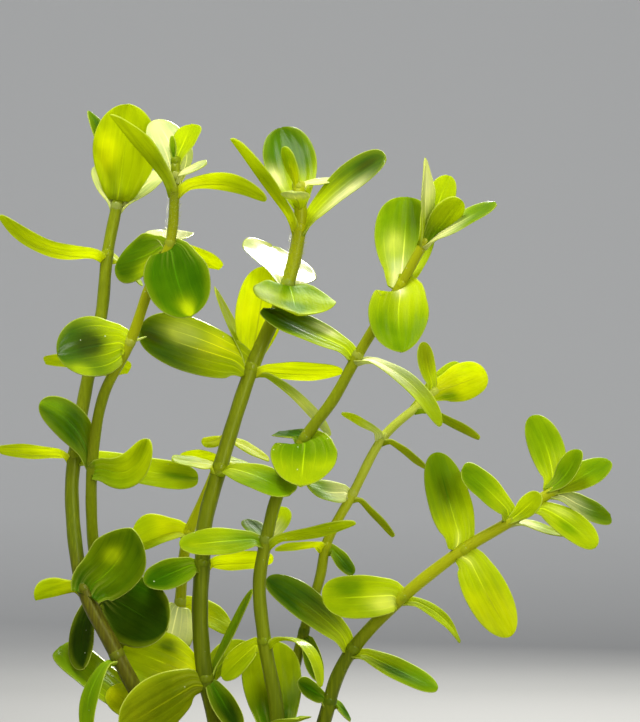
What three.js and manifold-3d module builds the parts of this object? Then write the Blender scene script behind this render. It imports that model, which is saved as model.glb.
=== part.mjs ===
// A potted lemon bacopa: seven stems in a net pot, with paired clasping leaves.
// Millimetres, +Z up, origin at the centre of the pot's foot. The full view is along +Y.
import * as THREE from 'three';
import { mergeVertices } from 'three/addons/utils/BufferGeometryUtils.js';
import Module from 'manifold-3d';

const wasm = await Module();
wasm.setup();

// Driving dimensions of the pot
const POT_HEIGHT = 50;
const POT_TOP_RADIUS = 25;
const POT_FOOT_RADIUS = 19;
const POT_WALL = 1.3;
const POT_FLOOR = 1.8;
const RIM_RADIUS = 27;
const RIM_THICKNESS = 1.6;
const POT_SIDES = 16;
const SIDE_SLOT = { count: 16, width: 3, bottom: 9, top: 39 };
const FOOT_SLOT = { count: 8, width: 2.2, inner: 8, outer: 15.5 };

// Driving dimensions of the wool and of what grows in it
const WOOL_TOP = 47.5;
const WOOL_CHAMFER = 1.2;
const GAP = 0.3;
const STEM_SIDES = 6;
const STEM_STEPS = 12;
const COLLAR_HEIGHT = 1.5;
const COLLAR_THICKNESS = 0.75;
const LEAF_THICKNESS = 0.8;
const BROAD_LEAF = { from: 10.4, rows: [0, 0.3, 0.62, 0.88], across: [-1, -0.5, 0, 0.5, 1] };
const NARROW_LEAF = { rows: [0, 0.35, 0.78], across: [-1, 0, 1] };

const radians = THREE.MathUtils.degToRad;

// One leaf: its tip, its greatest width, the way its upper face looks, and its bends.
// sag lifts the middle towards the face and sway moves it sideways, in millimetres;
// cup and fold raise the margins, in degrees; base is the share of the width at the base,
// widest the place of the greatest width, and blunt how square the tip is.
function leaf(tip, width, face, bends = {}) {
  const shape = { sag: 0, sway: 0, cup: 10, fold: 0, base: 0.32, widest: 0.56, blunt: 2.2 };
  return { tip, width, face, ...shape, ...bends };
}

// The stems, from left to right, each with the leaves at every node, from the bottom up.
// radius is given at the lower and the upper end; line is the course of the stem's axis.
const STEMS = {
  a: {
    radius: [1.75, 1.2],
    line: [[-10, -4, 24], [-14, -5, 47], [-18, -5, 57], [-24.5, -6, 70], [-31, -5, 83], [-33.5, -2, 100.5],
      [-33, -1, 109], [-30, 3, 127.5], [-28, 5, 137.5], [-27, 8, 149.5], [-24.7, 10.3, 161.8]],
    nodes: [
      [57, leaf([-36.5, 7, 70], 8, [0.2, -0.8, 0.6], { blunt: 4 }), leaf([-26, -1, 62.5], 7, [0, -0.8, 0.6])],
      [69.6, leaf([-29.3, -12, 53], 7, [-0.8, -0.5, 0.35], { sag: 2.5 })],
      [82.8, leaf([-21, -13, 95], 12, [0.05, -0.97, 0.15],
        { cup: 18, base: 0.7, widest: 0.6, blunt: 1.7, sway: 1.8 }),
        leaf([-41, 1, 80], 7, [0.1, 0.5, 0.85], { fold: 35 })],
      [109, leaf([-48.5, 5, 109.5], 10, [0, 0.35, 0.95]),
        leaf([-8.5, 4, 104], 8.5, [0, -0.65, 0.75], { sag: -0.8, blunt: 3 })],
      [127.6, leaf([-39.5, 8, 127.5], 7.5, [0, 0.4, 0.9]), leaf([-23, 8, 125.5], 8, [0, 0.5, 0.85])],
      [149.5, leaf([-48.5, 4, 157], 10, [0.3, 0.35, 0.9], { sag: -3.3, widest: 0.4 }),
        leaf([-20.8, 18, 144], 7, [0.2, -0.6, 0.75])],
      [159, leaf([-29.6, 15, 167.6], 5, [0.4, -0.7, 0.5], { base: 0.2 }),
        leaf([-15.5, 16, 167], 5.5, [-0.3, -0.6, 0.6], { base: 0.2 })],
      [161.8, leaf([-22.3, 4, 179.5], 13.5, [0.1, 0.97, 0.2], { cup: 15, base: 0.5, widest: 0.5, blunt: 1.9 }),
        leaf([-31.5, 16, 179], 5.5, [0.6, -0.7, 0.3], { sag: 2, blunt: 1.5 })],
    ],
  },
  b: {
    radius: [1.35, 1],
    line: [[-9, 3, 24], [-13, 4, 47], [-17, 4, 56], [-25.5, 5, 73.5], [-28.3, 4, 82], [-29.5, 0, 93],
      [-29.2, -5, 107.5], [-26.8, -8, 121], [-21.5, -9, 131.5], [-17.5, -11, 142.5], [-13.5, -12, 151],
      [-12.5, -13, 162], [-12.3, -13, 167.3]],
    nodes: [
      [81.5, leaf([-14.3, -8, 74.6], 14, [-0.35, -0.9, 0.2], { widest: 0.52 }),
        leaf([-31, -1, 66.5], 8.2, [-0.7, -0.6, 0.3], { sway: 2.5 })],
      [107.5, leaf([-39.6, -7, 119.3], 7.4, [0.2, -0.95, 0.2], { sway: 2.2, base: 0.2 }),
        leaf([-17.5, -15, 112.5], 7, [0, -1, 0.1], { cup: 25, sway: 4, base: 0.6 })],
      [131.5, leaf([-35.4, -15, 129], 13, [0, -0.95, 0.3], { sag: 0.5, widest: 0.5, blunt: 2 }),
        leaf([-21, -3.5, 132], 6, [-0.2, -0.6, 0.75])],
      [151, leaf([-9, -20, 136.5], 13, [0, -0.87, 0.48], { widest: 0.45, base: 0.35, sway: 0.8 }),
        leaf([-14.5, 5, 154], 10, [0, -0.3, 0.95], { base: 0.2 }),
        leaf([-24.5, -3, 147], 11, [-0.1, -0.85, 0.5], { sway: -1, base: 0.12, blunt: 1.8 }),
        leaf([-4, -4, 146.2], 7, [0.3, 0.5, 0.8])],
      [161.6, leaf([-25, -16, 176], 7.8, [0.7, 0.3, 0.65], { fold: 26, blunt: 1.5 }),
        leaf([5.5, -14, 159.5], 7.5, [0, 0.45, 0.9], { sag: 2.5, widest: 0.65 })],
      [164.3, leaf([-17, -5, 175.5], 9, [0.3, -0.75, 0.6], { sway: 1.4, base: 0.4 }),
        leaf([-6.3, -17, 166.2], 6, [0, -0.5, 0.85])],
      [167.3, leaf([-9.3, -8, 174.5], 6.5, [-0.4, -0.6, 0.5], { blunt: 3 }), leaf([-13, -14, 172], 1.4, [0, -1, 0.1])],
    ],
  },
  c: {
    radius: [1.85, 1.35],
    line: [[-2, 0, 24], [-4, 0, 47], [-5, 0, 56.5], [-7, -1, 65], [-8, -1, 77.5], [-7.5, -1, 87.5],
      [-7, -1, 95.5], [-4, 0, 106.5], [2.3, 5, 126.5], [9.5, 7, 143.5], [12, 8, 156], [11.7, 8.2, 163.5]],
    nodes: [
      [64.5, leaf([-23.3, -0.5, 70.5], 13, [0.2, -0.85, 0.45]), leaf([1, 8, 71], 8, [-0.2, -0.7, 0.6]),
        leaf([-23, -16, 56], 12, [0.1, 0.95, 0.3]), leaf([2.5, 3, 82], 5, [-0.85, -0.35, 0.5]),
        leaf([0, -6, 54.4], 5.5, [0.3, -0.8, 0.4])],
      [87.5, leaf([-18.5, -7, 83.5], 7.8, [-0.1, -0.75, 0.65]), leaf([6.5, 6, 87.5], 7, [0, 0.65, 0.75])],
      [106.5, leaf([-13.5, -3, 108], 8, [0, -0.3, 0.95]),
        leaf([10.2, -17, 101.8], 8.3, [0, -0.55, 0.8], { sag: 1, blunt: 3 })],
      [126.5, leaf([-20.2, 1, 134], 13.8, [0.2, -0.8, 0.55], { base: 0.45 }),
        leaf([20.5, 10, 125.5], 8.5, [0, 0.45, 0.9], { sag: -0.5 }),
        leaf([5, 15, 147], 10, [0, -0.9, 0.4], { base: 0.15, sway: 0.2 }),
        leaf([-5.5, 13, 143], 5, [0.6, -0.2, 0.6], { blunt: 1.3 }),
        leaf([18, 12, 112.5], 5, [0.3, 0.3, 0.8], { sag: 1.5 })],
      [143.5, leaf([11.5, -9, 137], 17, [0.2, -0.4, 0.9], { cup: 14 }), leaf([6.2, 21.5, 151.3], 17, [0.42, -0.37, 0.72])],
      [154.8, leaf([-2, 4, 172.5], 7, [0.75, 0.1, 0.6], { fold: 25 }),
        leaf([29.2, 1, 168.6], 8.8, [-0.3, -0.7, 0.6], { cup: 20, widest: 0.68, sway: -1.6, base: 0.25 })],
      [160, leaf([7.9, 18, 175.6], 11, [0, -0.97, 0.25], { cup: 20, sway: 0.3, sag: -0.6 }),
        leaf([10.5, -2, 161.5], 6, [0, -0.1, 1])],
      [163.5, leaf([8.8, 4.5, 171], 3.2, [0.3, 0.6, 0.3]), leaf([19, 9, 164.5], 3.6, [0, -0.4, 0.9])],
    ],
  },
  g: {
    radius: [1.3, 1.1],
    line: [[-9, 9, 24], [-12, 10, 47], [-14, 10, 55.5], [-13, 12, 69], [-12.5, 13, 78.5], [-11, 14, 92],
      [-7.5, 15, 100], [-4, 16, 109], [-3.5, 16, 112]],
    nodes: [
      [78.8, leaf([-2, 18, 73], 8, [0.2, -0.6, 0.7]), leaf([-15, 5, 67.5], 9, [0, -0.7, 0.7])],
      [92.5, leaf([-21, 9, 90], 11, [0.1, -0.5, 0.85], { fold: 20, sag: 1 })],
      [107.5, leaf([-12.5, 13, 108.5], 6, [0, 0.5, 0.85]), leaf([1.5, 20, 106.5], 6, [0, -0.4, 0.9])],
      [112, leaf([-7.5, 13, 110.5], 5, [0, -0.4, 0.9]), leaf([5.5, 20, 107.5], 6, [0.2, -0.4, 0.9])],
    ],
  },
  d: {
    radius: [1.65, 0.95],
    line: [[4, -6, 24], [6.5, -7, 47], [7.5, -7, 57], [5, -8, 72.5], [4, -8, 84], [5.5, -8, 93], [7.5, -8, 101],
      [13, -8, 112.5], [18.5, -9, 120], [23.5, -10, 129], [32, -12, 143], [35.2, -12.8, 148.8], [36.7, -13.1, 151.6]],
    nodes: [
      [55.6, leaf([5.5, 5, 71.5], 12, [0, -0.9, 0.4], { base: 0.6 }), leaf([12, -20, 58.5], 8, [0, -0.2, 0.95]),
      ],
      [72.5, leaf([16, -16, 64], 5, [0.3, -0.1, 0.9], { sag: 4.4 }), leaf([-3.5, -5, 65], 7, [-0.3, -0.6, 0.6])],
      [92.5, leaf([-11.5, -14, 91.5], 8.5, [0, -0.6, 0.8]), leaf([23, -12, 96], 7, [0, 0.35, 0.9], { sag: -0.4 }),
        leaf([9, 0, 98.5], 5, [0, -0.8, 0.5]), leaf([1.5, 0, 96], 5, [0.2, -0.5, 0.8])],
      [112.5, leaf([12.3, -20, 103.5], 13.3, [0, -0.75, 0.65], { widest: 0.35, base: 0.6, blunt: 1.9 }),
        leaf([8, 2, 113.5], 7, [0, -0.4, 0.9])],
      [129, leaf([4.5, -1, 138.1], 9.5, [0.3, -0.55, 0.8]), leaf([39.5, -16, 115], 8.5, [0.5, -0.35, 0.8], { sag: 2.4 })],
      [143, leaf([33.3, 0, 160.5], 12.3, [0, -0.9, 0.3], { cup: 15, base: 0.4, sway: 0.2 }),
        leaf([32, -20, 129.5], 12, [0, -0.8, 0.5], { widest: 0.42, base: 0.65, sway: 0.8, blunt: 1.9 })],
      [151.6, leaf([36.5, -17, 167.5], 6, [0.8, -0.5, 0.1], { fold: 15, blunt: 1.2 }),
        leaf([50.5, -15, 158.7], 7.5, [-0.4, -0.45, 0.8]), leaf([41.5, -7, 164.5], 6, [0, -0.9, 0.3]),
        leaf([43.5, -15, 159.5], 6.6, [-0.3, 0.8, 0.4])],
    ],
  },
  e: {
    radius: [1.3, 0.9],
    line: [[6, 5, 24], [8.5, 6, 47], [9.5, 7, 56], [10, 7, 61.5], [13, 8, 74], [16, 9, 84], [17.4, 9, 91],
      [22.7, 10, 101], [29, 11, 112.5], [37, 12, 119.5], [39.5, 12, 121.7]],
    nodes: [
      [73, leaf([15.5, 3, 63.5], 5, [0.5, -0.6, 0.3])],
      [90.5, leaf([7, 6, 89.8], 7, [0, 0.3, 0.95]), leaf([22.7, 9, 84.5], 6, [0.3, -0.4, 0.7])],
      [101, leaf([13.5, 6, 102.7], 8, [0, -0.55, 0.8], { widest: 0.35, sag: -1 }), leaf([31, 13, 92], 5, [0.4, 0.2, 0.8])],
      [112.5, leaf([20.5, 8, 117.3], 6, [0.2, 0.2, 0.95]), leaf([37.5, 12, 106], 6, [0.3, 0.2, 0.9])],
      [118.8, leaf([48.5, 12, 112], 6, [0.4, 0.3, 0.8]), leaf([44.5, 18, 127.5], 5.5, [0, -0.6, 0.7], { sag: -0.8 })],
      [121.7, leaf([50, 11, 125], 10, [-0.1, -0.7, 0.6], { base: 0.5 }),
        leaf([37.2, 14, 131.7], 3.9, [0.3, -0.8, 0.3], { sway: -0.5 })],
    ],
  },
  f: {
    radius: [1.6, 1.1],
    line: [[9, -1, 24], [14, -1, 47], [17, -1, 56.5], [19.5, -2, 65], [23, -3, 71], [32.5, -5, 81],
      [44.5, -6, 90.5], [54.5, -6, 96.5], [58.4, -6, 99.6], [62.6, -6, 102.2]],
    nodes: [
      [60, leaf([11.5, -5, 64], 5, [0.2, -0.7, 0.6]), leaf([22, 2, 56], 5, [0, -0.5, 0.8])],
      [70.6, leaf([5.2, -1, 84.1], 9.6, [0.4, -0.6, 0.6], { sway: 1.2 }), leaf([39.3, -6, 62.6], 7, [0, -0.5, 0.85])],
      [81, leaf([16.5, -13, 81], 9.4, [0, -0.9, 0.4], { base: 0.6, blunt: 2.6 }),
        leaf([44, 2, 71.5], 5.5, [0.4, -0.5, 0.8], { sag: 1.6 })],
      [90.5, leaf([39, -1, 109.5], 8.8, [0.1, -0.95, 0.25], { widest: 0.42, base: 0.5 }),
        leaf([53.6, -10, 73.5], 9.3, [0.1, -0.9, 0.4], { base: 0.5, widest: 0.5, blunt: 2, sway: 0.3 })],
      [96.5, leaf([44, -9, 106.3], 7.8, [0.3, -0.6, 0.6], { blunt: 3, base: 0.5, sway: 0.6 }),
        leaf([64.5, 0, 93], 6, [0, -0.4, 0.9]),
        leaf([59.5, -11, 101.5], 4.5, [-0.2, -0.9, 0.3])],
      [99.6, leaf([70, -12, 91], 6.4, [0.2, -0.9, 0.4], { sway: -1 })],
      [102.2, leaf([58.4, 2, 116.8], 7.2, [0, -0.95, 0.2], { sag: -0.8, sway: 1.1 }),
        leaf([67.2, -8, 110.3], 6.5, [-0.4, -0.6, 0.6], { cup: 30, sway: 1 }),
        leaf([73.5, -3, 108], 8, [-0.3, -0.6, 0.7], { sway: 0.6 }), leaf([74, 0, 96.8], 7.5, [0, -0.6, 0.7], { sway: 1.2 })],
    ],
  },
};

// A closed geometry as a solid that can be joined and cut, and back again
function solid(geometry) {
  const bare = geometry.clone();
  bare.deleteAttribute('normal');
  bare.deleteAttribute('uv');
  const merged = mergeVertices(bare, 1e-4);
  return new wasm.Manifold(new wasm.Mesh({
    numProp: 3,
    vertProperties: new Float32Array(merged.attributes.position.array),
    triVerts: new Uint32Array(merged.index.array),
  }));
}

function geometryOf(body) {
  const mesh = body.getMesh();
  const geometry = new THREE.BufferGeometry();
  geometry.setAttribute('position', new THREE.BufferAttribute(new Float32Array(mesh.vertProperties), 3));
  geometry.setIndex(new THREE.BufferAttribute(new Uint32Array(mesh.triVerts), 1));
  geometry.computeVertexNormals();
  return geometry;
}

function named(name, geometry, material) {
  const mesh = new THREE.Mesh(geometry, material);
  mesh.name = name;
  return mesh;
}

// The stem: a section swept along its line, then narrowed from the foot to the top
function stemAxis(stem) {
  const points = stem.line.map((p) => new THREE.Vector3(...p));
  return new THREE.CatmullRomCurve3(points, false, 'centripetal');
}

function stemGeometry(stem, extra = 0) {
  const axis = stemAxis(stem);
  const corners = [];
  for (let i = 0; i < STEM_SIDES; i += 1) {
    const angle = (2 * Math.PI * i) / STEM_SIDES;
    corners.push(new THREE.Vector2(Math.cos(angle), Math.sin(angle)));
  }
  const settings = { steps: STEM_STEPS, bevelEnabled: false, extrudePath: axis };
  const geometry = new THREE.ExtrudeGeometry(new THREE.Shape(corners), settings);
  const stations = axis.getSpacedPoints(STEM_STEPS);
  const position = geometry.attributes.position;
  const vertex = new THREE.Vector3();
  for (let i = 0; i < position.count; i += 1) {
    vertex.fromBufferAttribute(position, i);
    let nearest = 0;
    stations.forEach((station, k) => {
      if (station.distanceTo(vertex) < stations[nearest].distanceTo(vertex)) nearest = k;
    });
    const radius = THREE.MathUtils.lerp(stem.radius[0], stem.radius[1], nearest / STEM_STEPS) + extra;
    vertex.sub(stations[nearest]).multiplyScalar(radius).add(stations[nearest]);
    if (nearest === 0) vertex.addScaledVector(axis.getTangentAt(0), -extra);
    if (nearest === STEM_STEPS) vertex.addScaledVector(axis.getTangentAt(1), extra);
    position.setXYZ(i, vertex.x, vertex.y, vertex.z);
  }
  return geometry;
}

// Where the faceted stem's axis is at a height, which way it runs and how thick it is there
function stemAt(stem, height) {
  const stations = stemAxis(stem).getSpacedPoints(STEM_STEPS);
  let k = 0;
  while (k < STEM_STEPS - 1 && stations[k + 1].z < height) k += 1;
  const share = (height - stations[k].z) / (stations[k + 1].z - stations[k].z);
  const point = stations[k].clone().lerp(stations[k + 1], share);
  const direction = stations[k + 1].clone().sub(stations[k]).normalize();
  const normal = stemAxis(stem).computeFrenetFrames(STEM_STEPS).normals[k].clone();
  normal.addScaledVector(direction, -normal.dot(direction)).normalize();
  const radius = THREE.MathUtils.lerp(stem.radius[0], stem.radius[1], (k + share) / STEM_STEPS);
  return { point, direction, normal, radius };
}

// The blade's half width along its length: it swells from the base and rounds off at the tip
function halfWidth(shape, along) {
  if (along < shape.widest) {
    const rise = Math.sin((Math.PI / 2) * (along / shape.widest)) ** 0.9;
    return (shape.width / 2) * (shape.base + (1 - shape.base) * rise);
  }
  const beyond = (along - shape.widest) / (1 - shape.widest);
  return (shape.width / 2) * Math.max(0, 1 - beyond ** shape.blunt) ** (1 / shape.blunt);
}

// A point of the blade: along runs from base to tip, across from margin to margin,
// and depth is the distance from the middle surface towards the upper face.
function bladePoint(shape, base, along, across, depth) {
  const chord = new THREE.Vector3(...shape.tip).sub(base);
  const forward = chord.clone().normalize();
  const face = new THREE.Vector3(...shape.face);
  face.addScaledVector(forward, -face.dot(forward)).normalize();
  const side = forward.clone().cross(face);
  const bow = 4 * along * (1 - along);
  const middle = base.clone().addScaledVector(chord, along);
  middle.addScaledVector(face, shape.sag * bow).addScaledVector(side, shape.sway * bow);
  const slope = 4 * (1 - 2 * along);
  const tangent = chord.clone().addScaledVector(face, shape.sag * slope);
  tangent.addScaledVector(side, shape.sway * slope).normalize();
  const up = face.clone().addScaledVector(tangent, -face.dot(tangent)).normalize();
  const out = tangent.clone().cross(up);
  const reach = across * halfWidth(shape, along);
  const cup = radians(shape.cup) + 1e-6;
  const bend = halfWidth(shape, along) / cup + 1e-6;
  const flat = bend * Math.sin(reach / bend);
  const lift = bend * (1 - Math.cos(reach / bend)) + Math.abs(flat) * Math.sin(radians(shape.fold));
  middle.addScaledVector(out, flat * Math.cos(radians(shape.fold)));
  return middle.addScaledVector(up, lift + depth);
}

// The blade as a thin lens: an upper and a lower skin that meet at the margin and the tip
function bladeGeometry(shape, base) {
  const { rows, across } = shape.width >= BROAD_LEAF.from ? BROAD_LEAF : NARROW_LEAF;
  const columns = across.length;
  const points = [];
  [1, -1].forEach((skin) => {
    rows.forEach((along) => across.forEach((share) => {
      const depth = skin * (LEAF_THICKNESS / 2) * (1 - share * share);
      points.push(bladePoint(shape, base, along, share, depth));
    }));
    points.push(bladePoint(shape, base, 1, 0, 0));
  });
  const skinSize = rows.length * columns + 1;
  const triangles = [];
  for (let skin = 0; skin < 2; skin += 1) {
    const face = (a, b, c) => triangles.push(...(skin ? [a, b, c] : [a, c, b]).map((i) => i + skin * skinSize));
    for (let r = 0; r < rows.length; r += 1) {
      for (let c = 0; c < columns - 1; c += 1) {
        const near = r * columns + c;
        const far = near + columns;
        if (r === rows.length - 1) {
          face(near, skinSize - 1, near + 1);
        } else {
          face(near, far, far + 1);
          face(near, far + 1, near + 1);
        }
      }
    }
  }
  for (let c = 0; c < columns - 1; c += 1) {
    triangles.push(c, skinSize + c + 1, c + 1, c, skinSize + c, skinSize + c + 1);
  }
  const geometry = new THREE.BufferGeometry().setFromPoints(points);
  geometry.setIndex(triangles);
  return geometry;
}

// The leaves of one node are one piece: their bases meet in a collar that clasps the stem.
// The last collar of a stem is closed over its end, and carries the shoot tip.
function collarGeometry({ point, direction, normal, radius }, closed) {
  const inner = radius + GAP;
  const outer = inner + COLLAR_THICKNESS;
  const half = COLLAR_HEIGHT / 2;
  const ring = [[inner, -half], [outer, -half], [outer, half], [inner, half], [inner, -half]];
  const cap = [[inner, -half], [outer, -half], [outer, half], [0, half], [0, GAP], [inner, GAP], [inner, -half]];
  const profile = (closed ? cap : ring).map((p) => new THREE.Vector2(...p));
  const collar = new THREE.LatheGeometry(profile, STEM_SIDES);
  const sides = direction.clone().cross(normal);
  collar.applyMatrix4(new THREE.Matrix4().makeBasis(sides, direction, normal).setPosition(point));
  return collar;
}

function nodeGeometry(stem, height, leaves, closed) {
  const node = stemAt(stem, height);
  let body = solid(collarGeometry(node, closed));
  leaves.forEach((shape) => {
    const outward = new THREE.Vector3(...shape.tip).sub(node.point);
    outward.addScaledVector(node.direction, -outward.dot(node.direction)).normalize();
    const base = node.point.clone().addScaledVector(outward, node.radius + GAP + COLLAR_THICKNESS / 2);
    body = body.add(solid(bladeGeometry(shape, base)));
  });
  return geometryOf(body);
}

// The pot: a tapered cup with a rim, slotted walls and a slotted floor round a solid centre
function potGeometry() {
  const innerFoot = POT_FOOT_RADIUS - POT_WALL;
  const innerTop = POT_TOP_RADIUS - POT_WALL;
  const rimBottom = POT_HEIGHT - RIM_THICKNESS;
  const profile = [[0, 0], [POT_FOOT_RADIUS, 0], [POT_TOP_RADIUS, rimBottom], [RIM_RADIUS, rimBottom],
    [RIM_RADIUS, POT_HEIGHT], [innerTop, POT_HEIGHT], [innerFoot, POT_FLOOR], [0, POT_FLOOR]];
  const cup = new THREE.LatheGeometry(profile.map((p) => new THREE.Vector2(...p)), POT_SIDES, Math.PI / POT_SIDES);
  cup.rotateX(Math.PI / 2);
  let body = solid(cup);
  for (let i = 0; i < SIDE_SLOT.count; i += 1) {
    const slot = new THREE.BoxGeometry(POT_TOP_RADIUS, SIDE_SLOT.width, SIDE_SLOT.top - SIDE_SLOT.bottom);
    slot.translate(POT_FOOT_RADIUS - 6 + POT_TOP_RADIUS / 2, 0, (SIDE_SLOT.top + SIDE_SLOT.bottom) / 2);
    slot.rotateZ((2 * Math.PI * i) / SIDE_SLOT.count);
    body = body.subtract(solid(slot));
  }
  for (let i = 0; i < FOOT_SLOT.count; i += 1) {
    const slot = new THREE.BoxGeometry(FOOT_SLOT.outer - FOOT_SLOT.inner, FOOT_SLOT.width, 3 * POT_FLOOR);
    slot.translate((FOOT_SLOT.outer + FOOT_SLOT.inner) / 2, 0, POT_FLOOR / 2);
    slot.rotateZ((2 * Math.PI * (i + 0.5)) / FOOT_SLOT.count);
    body = body.subtract(solid(slot));
  }
  return geometryOf(body);
}

// The wool plug: it follows the pot's taper and has a blind hole for every stem
function woolGeometry(stems) {
  const bottom = POT_FLOOR + GAP;
  const radiusAt = (z) => THREE.MathUtils.mapLinear(z, 0, POT_HEIGHT, POT_FOOT_RADIUS, POT_TOP_RADIUS)
    - POT_WALL - 1.5 * GAP;
  const profile = [[0, bottom], [radiusAt(bottom), bottom], [radiusAt(WOOL_TOP - WOOL_CHAMFER), WOOL_TOP - WOOL_CHAMFER],
    [radiusAt(WOOL_TOP) - WOOL_CHAMFER, WOOL_TOP], [0, WOOL_TOP]];
  const plug = new THREE.LatheGeometry(profile.map((p) => new THREE.Vector2(...p)), POT_SIDES, Math.PI / POT_SIDES);
  plug.rotateX(Math.PI / 2);
  const cut = (body, stem) => body.subtract(solid(stemGeometry(stem, GAP)));
  return geometryOf(stems.reduce(cut, solid(plug)));
}

const blackPlastic = new THREE.MeshStandardMaterial({ color: '#17181a', roughness: 0.5, metalness: 0 });
const wool = new THREE.MeshStandardMaterial({ color: '#a79a72', roughness: 1, metalness: 0 });
const stemGreen = new THREE.MeshStandardMaterial({ color: '#6f8c12', roughness: 0.5, metalness: 0 });
const leafGreen = new THREE.MeshStandardMaterial({ color: '#7fae16', roughness: 0.4, metalness: 0 });

const plant = new THREE.Group();
plant.add(named('net_pot', potGeometry(), blackPlastic));
plant.add(named('rock_wool', woolGeometry(Object.values(STEMS)), wool));
Object.entries(STEMS).forEach(([letter, stem]) => {
  plant.add(named(`stem_${letter}`, stemGeometry(stem), stemGreen));
  stem.nodes.forEach(([height, ...leaves], i) => {
    const last = i === stem.nodes.length - 1;
    plant.add(named(`leaves_${letter}${i + 1}`, nodeGeometry(stem, height, leaves, last), leafGreen));
  });
});

export default plant;
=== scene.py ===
import bpy
import numpy as np
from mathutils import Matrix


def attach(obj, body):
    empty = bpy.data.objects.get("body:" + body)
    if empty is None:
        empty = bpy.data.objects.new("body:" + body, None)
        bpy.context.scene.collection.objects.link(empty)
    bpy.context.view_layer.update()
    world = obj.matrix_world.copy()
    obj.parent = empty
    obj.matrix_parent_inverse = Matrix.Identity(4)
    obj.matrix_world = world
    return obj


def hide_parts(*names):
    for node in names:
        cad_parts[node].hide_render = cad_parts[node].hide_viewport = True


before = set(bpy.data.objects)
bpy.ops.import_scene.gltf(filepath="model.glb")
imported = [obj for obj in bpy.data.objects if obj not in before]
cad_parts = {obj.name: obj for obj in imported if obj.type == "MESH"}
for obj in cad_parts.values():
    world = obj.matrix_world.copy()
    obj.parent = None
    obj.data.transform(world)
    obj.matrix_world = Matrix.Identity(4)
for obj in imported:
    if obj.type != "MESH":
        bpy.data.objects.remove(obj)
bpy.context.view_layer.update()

# The camera. It stands level with the middle of the shoots, 700 mm in front of the pot, and
# sees 144.4 mm of height there, which the photograph's 722 pixels cover. Up is +Z.
VIEW_PLACE = (0.016, -0.700, 0.1278)
VIEW_HEIGHT = 0.1444
SENSOR = 36.0
view = bpy.data.objects.new("view", bpy.data.cameras.new("view"))
view.data.sensor_width = SENSOR
view.data.lens = SENSOR * -VIEW_PLACE[1] / VIEW_HEIGHT
view.location = VIEW_PLACE
view.rotation_euler = (np.pi / 2, 0, 0)
bpy.context.scene.collection.objects.link(view)
bpy.context.scene.camera = view


# The studio: a strong soft lamp behind the plant that lights through its leaves, one above it,
# one in front of it at the right, and a sweep that runs from the floor up into a wall. The
# sweep's paint is dark under the lamps and paler further back: painted shade where the lamps
# light the floor most, which keeps it from glaring white.
def lamp(name, place, target, size, watts, colour):
    """A square soft lamp that faces its target."""
    light = bpy.data.objects.new(name, bpy.data.lights.new(name, "AREA"))
    light.data.size, light.data.energy, light.data.color = size, watts, colour
    light.location = place
    aim = np.array(target) - np.array(place)
    light.rotation_euler = (np.arccos(-aim[2] / np.linalg.norm(aim)), 0,
                            np.arctan2(aim[1], aim[0]) - np.pi / 2)
    bpy.context.scene.collection.objects.link(light)


SHOOTS = (0.012, 0, 0.13)
lamp("lamp_behind", (0.14, 0.55, 0.47), SHOOTS, 0.24, 11.0, (1.0, 0.98, 0.90))
lamp("lamp_above", (-0.12, -0.26, 0.74), SHOOTS, 0.26, 5.0, (1.0, 1.0, 0.96))
lamp("lamp_front", (0.34, -0.85, 0.35), SHOOTS, 0.42, 4.6, (1.0, 1.0, 0.97))

SKY_COLOUR, SKY_STRENGTH = (0.97, 0.98, 1.0, 1), 0.42
sky = bpy.data.worlds.new("studio")
sky.use_nodes = True
backdrop = sky.node_tree.nodes["Background"]
backdrop.inputs["Color"].default_value = SKY_COLOUR
backdrop.inputs["Strength"].default_value = SKY_STRENGTH
bpy.context.scene.world = sky

SWEEP_HALF_WIDTH, SWEEP_FRONT, SWEEP_BACK, SWEEP_RADIUS, WALL_HEIGHT = 1.6, -1.4, 0.8, 0.6, 1.2
FLAT_SHARE, CURVE_SHARE, WALL_SHARE = 0.4, 0.3, 0.3
SWEEP_COLUMNS, SWEEP_STEPS = 9, 49
FLOOR_DROP = 1e-4
FLOOR_PAINTED_SHADE, PALE_PAINT, PALER_FROM, PALER_OVER = 0.20, 0.62, 0.6, 0.45
PAINT_HUE, PAINT_ROUGHNESS = (1, 1.01, 1.02), 0.85
across, along = np.meshgrid(np.linspace(-1, 1, SWEEP_COLUMNS), np.linspace(0, 1, SWEEP_STEPS),
                            indexing="ij")
turn = np.clip((along - FLAT_SHARE) / CURVE_SHARE, 0, 1) * np.pi / 2
run = SWEEP_FRONT + (SWEEP_BACK - SWEEP_FRONT) * np.clip(along / FLAT_SHARE, 0, 1)
climb = np.clip((along - (1 - WALL_SHARE)) / WALL_SHARE, 0, 1) * WALL_HEIGHT
sweep = np.stack([across * SWEEP_HALF_WIDTH, run + SWEEP_RADIUS * np.sin(turn),
                  SWEEP_RADIUS * (1 - np.cos(turn)) + climb - FLOOR_DROP], -1)
cell = np.arange(SWEEP_COLUMNS - 1)[:, None] * SWEEP_STEPS + np.arange(SWEEP_STEPS - 1)
cells = np.stack([cell, cell + SWEEP_STEPS, cell + SWEEP_STEPS + 1, cell + 1], -1)
floor_mesh = bpy.data.meshes.new("floor")
floor_mesh.from_pydata(sweep.reshape(-1, 3).tolist(), [], cells.reshape(-1, 4).tolist())
floor_mesh.polygons.foreach_set("use_smooth", np.ones(len(floor_mesh.polygons), bool))
floor = bpy.data.objects.new("floor", floor_mesh)
bpy.context.scene.collection.objects.link(floor)
floor_paint = bpy.data.materials.new("floor_paint")
floor_paint.use_nodes = True
floor_shader = floor_paint.node_tree.nodes["Principled BSDF"]
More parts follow.
